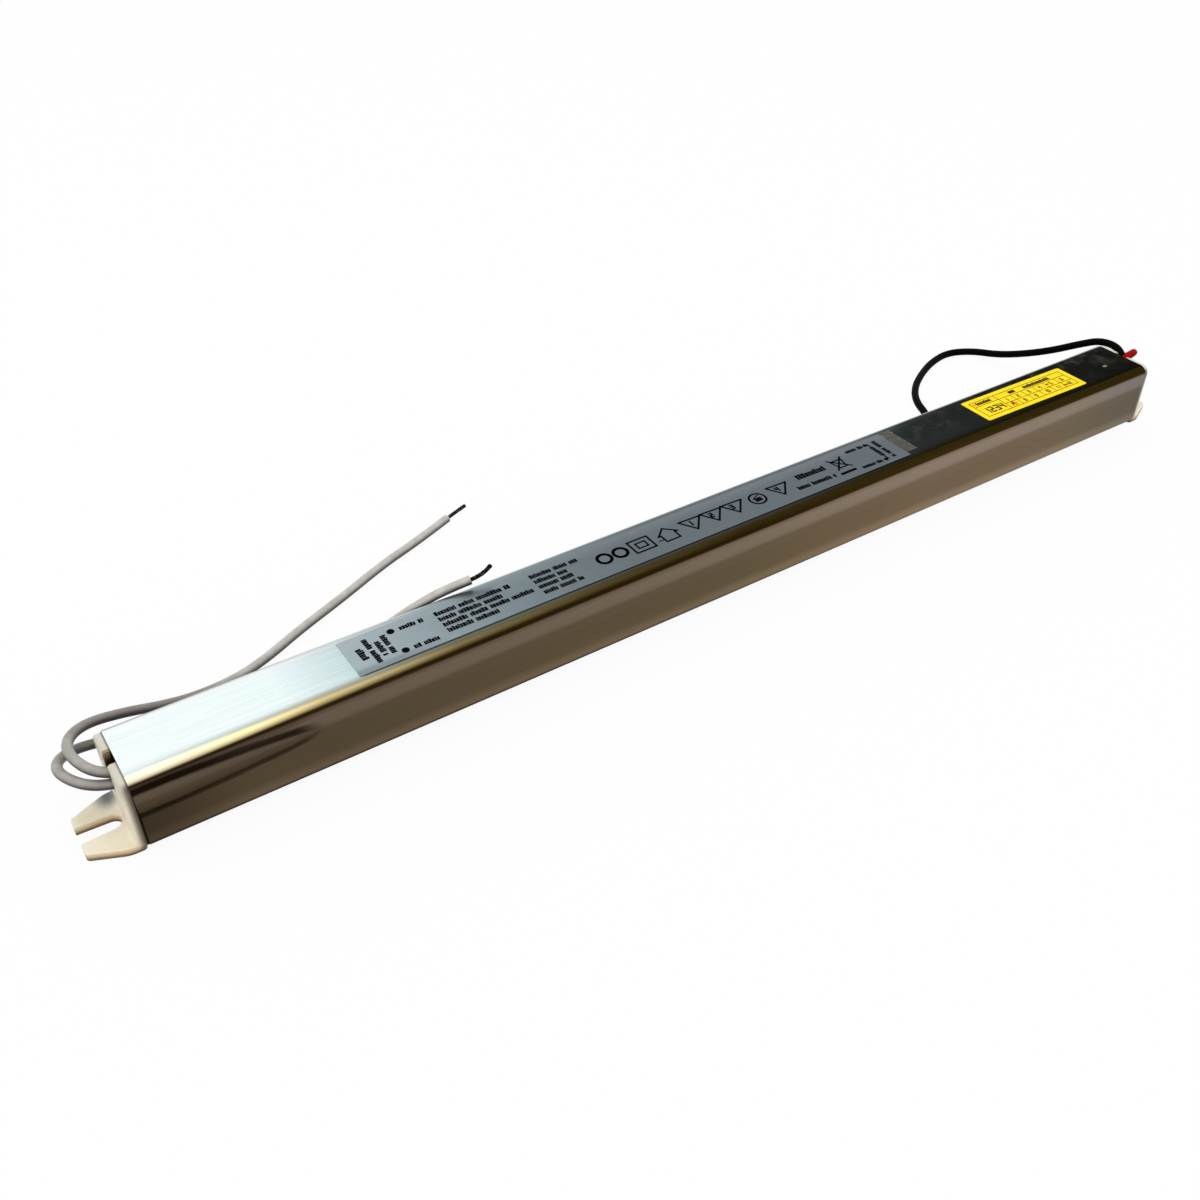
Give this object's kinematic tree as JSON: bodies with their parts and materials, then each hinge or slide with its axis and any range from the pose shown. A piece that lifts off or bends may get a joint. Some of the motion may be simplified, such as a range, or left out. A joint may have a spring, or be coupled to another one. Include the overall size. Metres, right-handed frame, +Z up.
{
  "type": "led driver",
  "caption": "Slim constant-voltage mains supply for lamps in a square aluminium tube, with moulded slotted feet and loose wire tails at its ends",
  "frame": {"origin": "middle of the underside, between the two feet, on the surface that the tube and feet rest on", "axes": "+X along the tube towards the output end, +Y across it towards the side where the wires lie, +Z up"},
  "size_m": [0.309, 0.0681, 0.0222],
  "materials": {
    "aluminium": "brushed along the tube, bare",
    "cream_plastic": "satin moulding",
    "silver_label": "printed silver film",
    "clear_tape": "smooth",
    "yellow_paper": "printed, slightly glossy",
    "board_laminate": "solder mask",
    "insulating_film": "smooth film",
    "fuse_ceramic": "smooth, metal end caps",
    "dark_disc": "dipped",
    "blue_disc": "dipped",
    "capacitor_case": "moulded",
    "ferrite": "ground",
    "copper_winding": "enamelled wire",
    "black_package": "moulded",
    "dark_sleeve": "shrink sleeve",
    "winding_tape": "wrapped tape",
    "thermal_rubber": "matt",
    "chip_ceramic": "glazed",
    "solder": "bright",
    "white_insulation": "smooth",
    "black_insulation": "smooth",
    "red_insulation": "smooth",
    "bare_strands": "tinned and twisted, tarnished"
  },
  "bodies": {
    "root": {"housing": "aluminium", "input_end_cap": "cream_plastic", "output_end_cap": "cream_plastic", "main_label": "silver_label", "clear_tape": "clear_tape", "yellow_sticker": "yellow_paper", "circuit_board": "board_laminate", "insulating_tray": "insulating_film", "insulating_strip": "insulating_film", "fuse": "fuse_ceramic", "thermistor": "dark_disc", "varistor": "blue_disc", "line_capacitor": "capacitor_case", "choke_core": "ferrite", "choke_winding_live": "copper_winding", "choke_winding_neutral": "copper_winding", "bridge_rectifier": "black_package", "reservoir_capacitor_1": "dark_sleeve", "reservoir_capacitor_2": "dark_sleeve", "startup_capacitor": "dark_sleeve", "transformer_core_input": "ferrite", "transformer_core_output": "ferrite", "transformer_bobbin": "black_package", "transformer_winding": "winding_tape", "suppressor_capacitor": "blue_disc", "optocoupler": "black_package", "output_capacitor_1": "dark_sleeve", "output_capacitor_2": "dark_sleeve", "output_inductor": "ferrite", "switching_transistor": "black_package", "output_rectifier": "black_package", "thermal_pad_mains": "thermal_rubber", "thermal_pad_output": "thermal_rubber", "controller_chip": "black_package", "control_resistors": "chip_ceramic", "feedback_resistors": "chip_ceramic", "solder_joints": "solder", "wire_terminals": "solder", "live_wire": "white_insulation", "neutral_wire": "white_insulation", "negative_wire": "black_insulation", "positive_wire": "red_insulation", "live_wire_strands": "bare_strands", "neutral_wire_strands": "bare_strands", "negative_wire_strands": "bare_strands", "positive_wire_strands": "bare_strands"}
  },
  "joints": []
}
